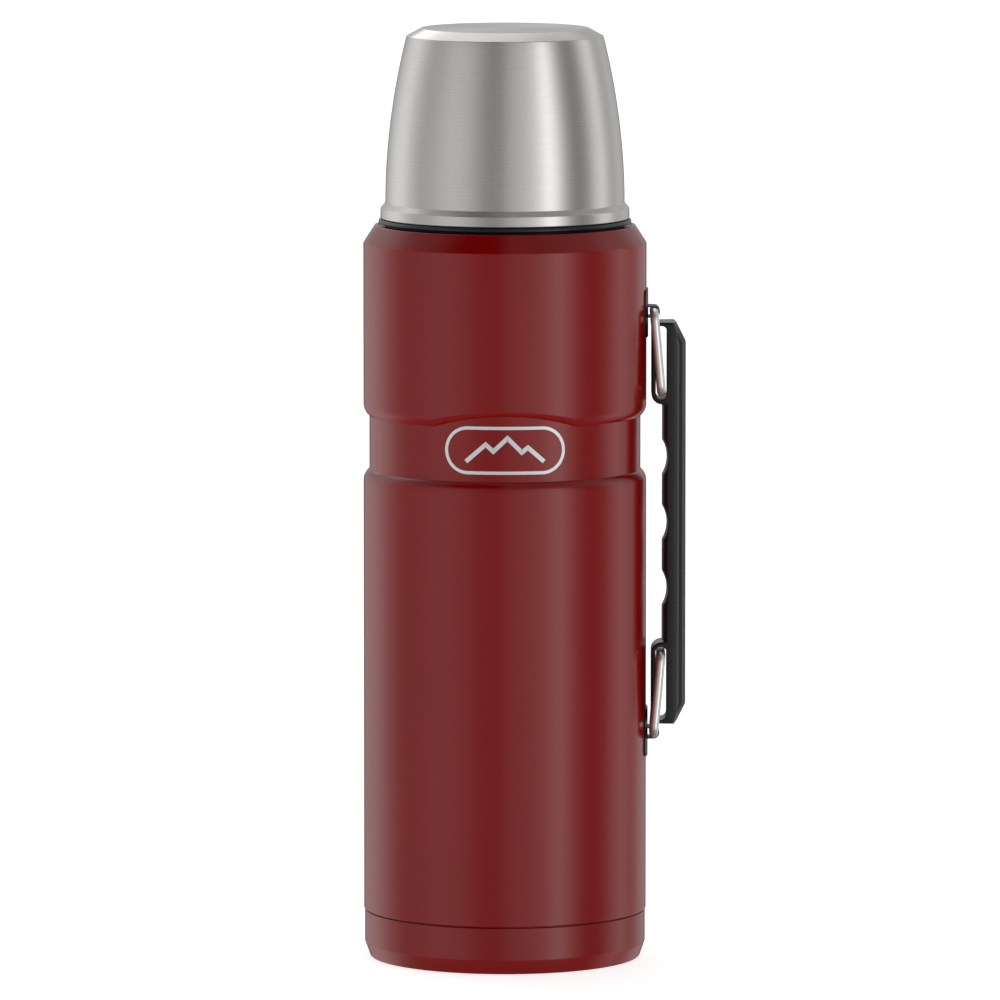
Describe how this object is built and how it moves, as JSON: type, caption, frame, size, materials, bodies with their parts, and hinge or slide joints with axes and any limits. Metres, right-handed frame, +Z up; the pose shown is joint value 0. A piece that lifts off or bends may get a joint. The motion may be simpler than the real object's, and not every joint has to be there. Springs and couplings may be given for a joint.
{
  "type": "insulated water bottle",
  "caption": "Tall double-walled vacuum bottle with a screw-on steel cup, a screw-in stopper and a side carrying handle on swinging wire rings.",
  "frame": {"origin": "centre of the base's flat foot, on the surface that the bottle stands on", "axes": "+Z up along the bottle's axis, +X towards the carrying handle, -Y towards the printed front"},
  "size_m": [0.1275, 0.112, 0.369],
  "materials": {
    "painted_steel": "satin",
    "brushed_steel": "satin",
    "bright_wire": "polished",
    "black_plastic": "satin",
    "black_ring": "satin",
    "black_enamel": "satin",
    "copper_foil": "satin",
    "getter_alloy": "matte",
    "foam": "matte",
    "silicone": "matte"
  },
  "bodies": {
    "bottle": {"outer_shell": "painted_steel", "base_cap": "painted_steel", "bottom_plate": "brushed_steel", "vacuum_seal_plug": "brushed_steel", "getter": "getter_alloy", "inner_vessel": "brushed_steel", "radiation_shield": "copper_foil", "top_bracket": "black_enamel", "bottom_bracket": "black_enamel"},
    "cup_lift": {"cup_rim_ring": "black_ring"},
    "cup": {"cup_outer_shell": "brushed_steel", "cup_inner_liner": "black_plastic"},
    "stopper_lift": {"stopper_seal": "silicone", "stopper_oring": "silicone"},
    "stopper": {"stopper_body": "black_plastic", "stopper_cap": "black_plastic", "stopper_core": "foam", "stopper_base": "black_plastic"},
    "top_ring": {"top_ring": "bright_wire"},
    "handle": {"handle_grip": "black_plastic"},
    "bottom_ring": {"bottom_ring": "bright_wire"}
  },
  "joints": [
    {"name": "cup_rise", "type": "slide", "parent": "bottle", "child": "cup_lift", "axis": [0, 0, 1], "range_m": [0, 0.0076]},
    {"name": "cup_turn", "type": "hinge", "parent": "cup_lift", "child": "cup", "pos_m": [0, 0, 0.298], "axis": [0, 0, 1], "range_deg": [0, 540]},
    {"name": "stopper_rise", "type": "slide", "parent": "bottle", "child": "stopper_lift", "axis": [0, 0, 1], "range_m": [0, 0.0061]},
    {"name": "stopper_turn", "type": "hinge", "parent": "stopper_lift", "child": "stopper", "pos_m": [0, 0, 0.304], "axis": [0, 0, 1], "range_deg": [0, 540]},
    {"name": "top_ring_swing", "type": "hinge", "parent": "bottle", "child": "top_ring", "pos_m": [0.05895, 0, 0.257], "axis": [0, -1, 0], "range_deg": [0, 46]},
    {"name": "handle_pivot", "type": "hinge", "parent": "top_ring", "child": "handle", "pos_m": [0.06183, 0, 0.22533], "axis": [0, 1, 0], "range_deg": [0, 46.1]},
    {"name": "bottom_ring_swing", "type": "hinge", "parent": "bottle", "child": "bottom_ring", "pos_m": [0.05895, 0, 0.0893], "axis": [0, 1, 0], "range_deg": [0, 46.1]}
  ],
  "couplings": [
    {"joint": "cup_rise", "follows": "cup_turn", "m_per_rad": 0.00079577},
    {"joint": "stopper_rise", "follows": "stopper_turn", "m_per_rad": 0.00063662},
    {"joint": "handle_pivot", "follows": "top_ring_swing", "ratio": 1},
    {"joint": "bottom_ring_swing", "follows": "top_ring_swing", "ratio": 1}
  ]
}
